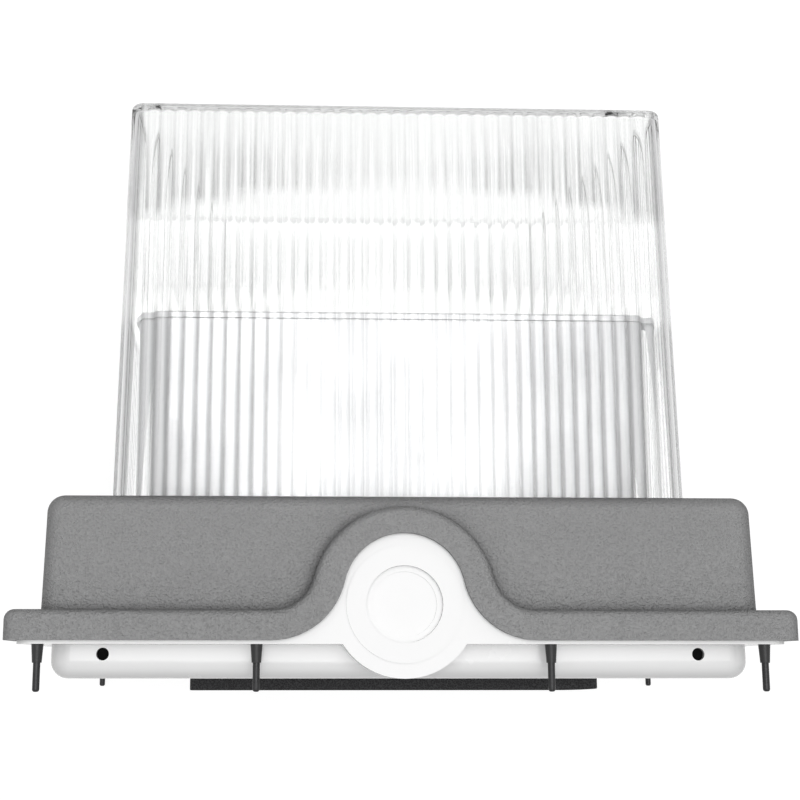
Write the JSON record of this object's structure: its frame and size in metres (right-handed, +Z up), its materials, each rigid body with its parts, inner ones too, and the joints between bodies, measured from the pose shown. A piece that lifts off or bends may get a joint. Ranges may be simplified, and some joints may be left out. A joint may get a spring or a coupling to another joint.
{
  "type": "wall pack light",
  "caption": "Outdoor wall pack light: white back housing with conduit hub, grey lift-off cover, deep clear ribbed refractor, reflector, lamp and control gear.",
  "frame": {"origin": "centre of the wire entry on the face of the gasket that lies on the wall", "axes": "+Z up the wall, +Y into the wall, so the light faces -Y; +X to the right for someone facing the light"},
  "size_m": [0.356, 0.2846, 0.235],
  "materials": {
    "foam": "black closed-cell foam",
    "housing_paint": "smooth glossy white powder coat on die-cast aluminium",
    "black_rubber": "black moulded rubber",
    "sleeve_rubber": "dark grey rubber",
    "zinc_steel": "zinc plated sheet steel",
    "zinc_screw": "zinc plated screw",
    "core_steel": "varnished steel laminations",
    "coil_tape": "varnished tape over copper winding",
    "capacitor_can": "drawn aluminium can",
    "ignitor_case": "black potted plastic case",
    "terminal_plastic": "off-white moulded plastic",
    "brass": "bright brass",
    "ground_green": "green dyed steel screw",
    "reflector_white": "bright satin aluminium",
    "porcelain": "glazed white porcelain",
    "cover_paint": "grey orange-peel powder coat on die-cast aluminium",
    "dark_screw": "dark oiled steel screw",
    "clear_glass": "clear ribbed moulded glass",
    "silicone": "translucent white silicone",
    "plug_plastic": "glossy white moulded plastic",
    "coated_glass": "white phosphor coated glass",
    "quartz": "fused quartz",
    "lead_red": "red insulated wire",
    "lead_blue": "blue insulated wire",
    "lead_black": "black insulated wire",
    "lead_white": "white insulated wire"
  },
  "bodies": {
    "housing": {"wall_gasket": "foam", "back_housing": "housing_paint", "side_hole_plugs": "black_rubber", "screw_sleeves": "sleeve_rubber", "gear_tray": "zinc_steel", "tray_screws": "zinc_screw", "ballast_base": "zinc_steel", "ballast_core": "core_steel", "ballast_coil": "coil_tape", "ballast_bolts": "zinc_screw", "ballast_screws": "zinc_screw", "capacitor": "capacitor_can", "capacitor_strap": "zinc_steel", "capacitor_screws": "zinc_screw", "ignitor": "ignitor_case", "ignitor_screws": "zinc_screw", "terminal_block": "terminal_plastic", "terminal_screws": "brass", "ground_screw": "ground_green", "reflector": "reflector_white", "reflector_posts": "zinc_steel", "reflector_screws": "zinc_screw", "socket_bracket": "zinc_steel", "bracket_screws": "zinc_screw", "lamp_socket": "porcelain", "socket_screws": "zinc_screw", "capacitor_lead": "lead_red", "ignitor_lead": "lead_blue", "ballast_lead": "lead_black", "socket_lead": "lead_white"},
    "cover": {"front_cover": "cover_paint", "cover_screws": "dark_screw", "cover_gasket": "black_rubber", "refractor": "clear_glass", "lens_gasket": "silicone", "lens_retainer": "zinc_steel", "lens_screws": "zinc_screw"},
    "plug_seal": {"hub_seal": "black_rubber"},
    "plug": {"hub_plug": "plug_plastic"},
    "lamp": {"lamp_cap": "brass", "lamp_envelope": "coated_glass", "arc_tube": "quartz"}
  },
  "joints": [
    {"name": "cover_lift", "type": "slide", "parent": "housing", "child": "cover", "axis": [0, -1, 0], "range_m": [0, 0.18]},
    {"name": "hub_plug_travel", "type": "slide", "parent": "housing", "child": "plug_seal", "axis": [0, 0, 1], "range_m": [0, 0.00998]},
    {"name": "hub_plug_turn", "type": "hinge", "parent": "plug_seal", "child": "plug", "pos_m": [0, -0.0388, 0], "axis": [0, 0, 1], "range_deg": [0, 1980]},
    {"name": "lamp_turn", "type": "hinge", "parent": "housing", "child": "lamp", "pos_m": [0, -0.138, 0], "axis": [-1, 0, 0], "range_deg": [0, 1440]}
  ],
  "couplings": [
    {"joint": "hub_plug_turn", "follows": "hub_plug_travel", "rad_per_m": 3463.1}
  ]
}
